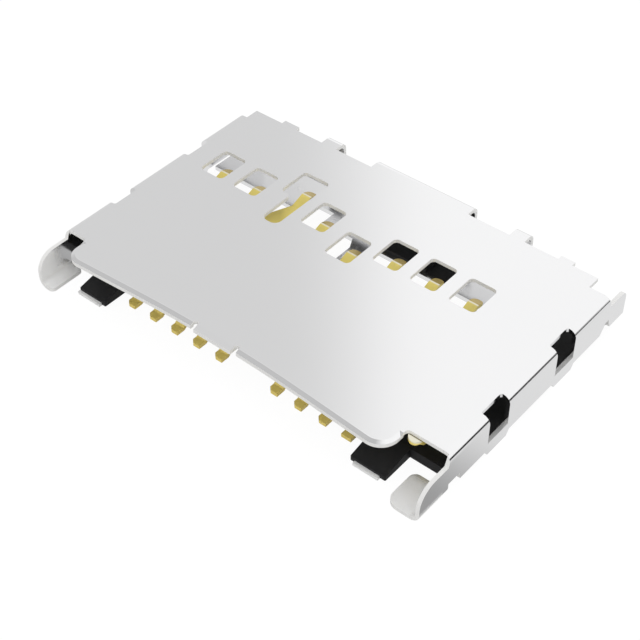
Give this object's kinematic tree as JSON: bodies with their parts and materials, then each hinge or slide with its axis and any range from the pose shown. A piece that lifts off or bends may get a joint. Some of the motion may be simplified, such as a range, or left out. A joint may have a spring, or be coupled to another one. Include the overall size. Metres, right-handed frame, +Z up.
{
  "type": "microsd card connector",
  "caption": "Flat surface-mount memory card connector: folded steel cover with windows, ears and feet, black housing, gold spring contacts.",
  "frame": {"origin": "on the board, midway between the side walls, at the front ends of the soldering tails", "axes": "+X along the card entry edge, +Y from the entry to the rear, +Z up from the board"},
  "size_m": [0.0114, 0.0079, 0.0012],
  "materials": {
    "cover_steel": "satin rolled sheet",
    "housing_plastic": "moulded, matt",
    "base_steel": "satin rolled sheet",
    "contact_gold": "plated, bright",
    "nail_tin": "plated"
  },
  "bodies": {
    "root": {"shell": "cover_steel", "housing": "housing_plastic", "base_plate": "base_steel", "contact_1": "contact_gold", "contact_2": "contact_gold", "contact_3": "contact_gold", "contact_4": "contact_gold", "contact_5": "contact_gold", "contact_6": "contact_gold", "contact_7": "contact_gold", "contact_8": "contact_gold", "detect_contact": "contact_gold", "nail_right": "nail_tin", "nail_left": "nail_tin"}
  },
  "joints": []
}
